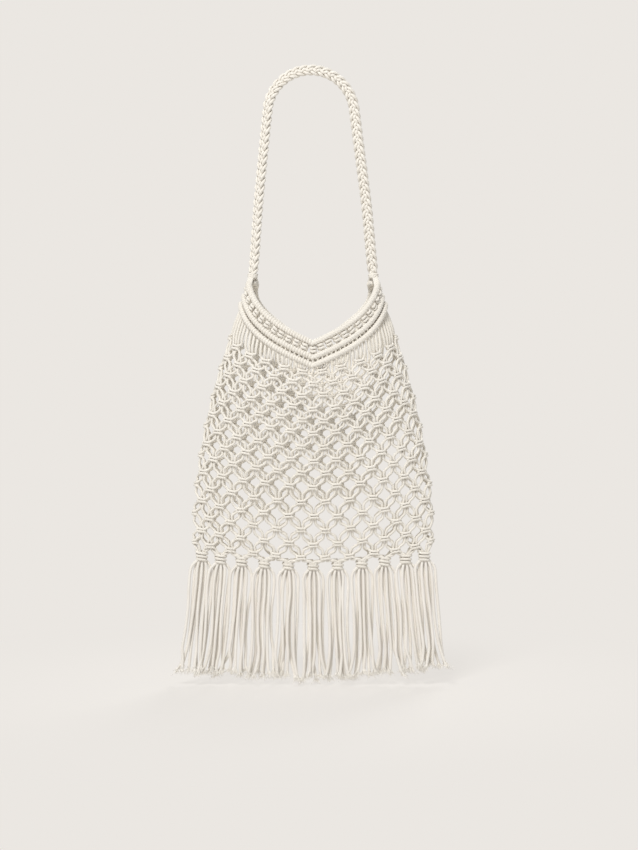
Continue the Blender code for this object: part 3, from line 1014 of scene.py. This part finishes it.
def make_floor():
    """A plain pale floor under the fringe: studio pale far off, with a faint shadow near the bag."""
    size = floor_half_size
    mesh = bpy.data.meshes.new("floor")
    level = cad_box[0][2] - floor_drop
    corners = [(-size, -size, level), (size, -size, level), (size, size, level), (-size, size, level)]
    mesh.from_pydata(corners, [], [(0, 1, 2, 3)])
    floor = bpy.data.objects.new("floor", mesh)
    bpy.context.scene.collection.objects.link(floor)
    material = bpy.data.materials.new("floor")
    material.use_nodes = True
    nodes = material.node_tree.nodes
    links = material.node_tree.links
    nodes.clear()
    result = nodes.new("ShaderNodeOutputMaterial")
    where = nodes.new("ShaderNodeTexCoord")
    reach = nodes.new("ShaderNodeVectorMath")
    reach.operation = "LENGTH"
    spread = nodes.new("ShaderNodeVectorMath")
    spread.operation = "MULTIPLY"
    spread.inputs[1].default_value = (1, 1, 0)
    ramp = nodes.new("ShaderNodeMapRange")
    ramp.interpolation_type = "SMOOTHSTEP"
    ramp.inputs["From Min"].default_value = 0.1
    ramp.inputs["From Max"].default_value = 0.6
    ramp.inputs["To Min"].default_value = 0.3
    ramp.inputs["To Max"].default_value = 0.0
    glow = nodes.new("ShaderNodeEmission")
    glow.inputs["Color"].default_value = studio_colour
    matt = nodes.new("ShaderNodeBsdfDiffuse")
    matt.inputs["Color"].default_value = floor_colour
    mix = nodes.new("ShaderNodeMixShader")
    links.new(where.outputs["Object"], spread.inputs[0])
    links.new(spread.outputs[0], reach.inputs[0])
    links.new(reach.outputs["Value"], ramp.inputs["Value"])
    links.new(ramp.outputs["Result"], mix.inputs[0])
    links.new(glow.outputs[0], mix.inputs[1])
    links.new(matt.outputs[0], mix.inputs[2])
    links.new(mix.outputs[0], result.inputs["Surface"])
    mesh.materials.append(material)


def area_light(name, place_at, aim, size, power):
    """A soft square light that points from its place at the aim."""
    light = bpy.data.lights.new(name, "AREA")
    light.size = size
    light.energy = power
    light.color = light_colour
    made = bpy.data.objects.new(name, light)
    bpy.context.scene.collection.objects.link(made)
    made.location = place_at
    made.rotation_euler = aim_rotation(place_at, aim)


def aim_rotation(start, target):
    """The turn that points an object's -Z from start to target with +Y up."""
    return (Vector(target) - Vector(start)).to_track_quat("-Z", "Y").to_euler()


def make_studio():
    """An even pale studio, soft lights from above in front and behind, and the camera of the photograph.

    The camera sees the studio's own colour; the bag is lit by a dimmer and neutral fill.
    """
    scene = bpy.context.scene
    world = bpy.data.worlds.new("studio")
    scene.world = world
    world.use_nodes = True
    nodes = world.node_tree.nodes
    links = world.node_tree.links
    backdrop = nodes["Background"]
    backdrop.inputs["Color"].default_value = studio_colour
    backdrop.inputs["Strength"].default_value = 1.0
    fill = nodes.new("ShaderNodeBackground")
    fill.inputs["Color"].default_value = fill_colour
    fill.inputs["Strength"].default_value = fill_strength
    rays = nodes.new("ShaderNodeLightPath")
    mix = nodes.new("ShaderNodeMixShader")
    links.new(rays.outputs["Is Camera Ray"], mix.inputs[0])
    links.new(fill.outputs[0], mix.inputs[1])
    links.new(backdrop.outputs[0], mix.inputs[2])
    links.new(mix.outputs[0], nodes["World Output"].inputs["Surface"])
    scene.view_settings.view_transform = "Standard"
    area_light("key", (-0.9, -2.5, 2.2), bag_middle, 1.0, 100)
    area_light("rear", (0.9, 2.6, 1.8), bag_middle, 1.2, 62)
    make_floor()

    lens = bpy.data.cameras.new("camera")
    lens.lens = camera_lens
    lens.sensor_width = 36
    camera = bpy.data.objects.new("camera", lens)
    scene.collection.objects.link(camera)
    back = camera_distance * math.cos(camera_rise)
    spot = (camera_aim[0], -back, camera_aim[2] + camera_distance * math.sin(camera_rise))
    camera.location = spot
    camera.rotation_euler = aim_rotation(spot, camera_aim)
    scene.camera = camera


def main():
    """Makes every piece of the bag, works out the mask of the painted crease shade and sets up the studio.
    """
    group = cotton_group()
    twisted = cotton_material("twisted_cotton_cord", group, *twisted_relief, cotton_light, cotton_shade)
    hanging = cotton_material("hanging_cotton_cord", group, *hanging_relief, hanging_light, cotton_shade)
    frayed = cotton_material("frayed_cotton", group, *frayed_relief, frayed_light, frayed_shade)
    make_strap(twisted)
    make_bindings(twisted)
    make_rolls(twisted)
    make_knot_rows(twisted)
    make_net(twisted)
    make_fringe(twisted, frayed, hanging)
    shade_creases()
    make_studio()


main()
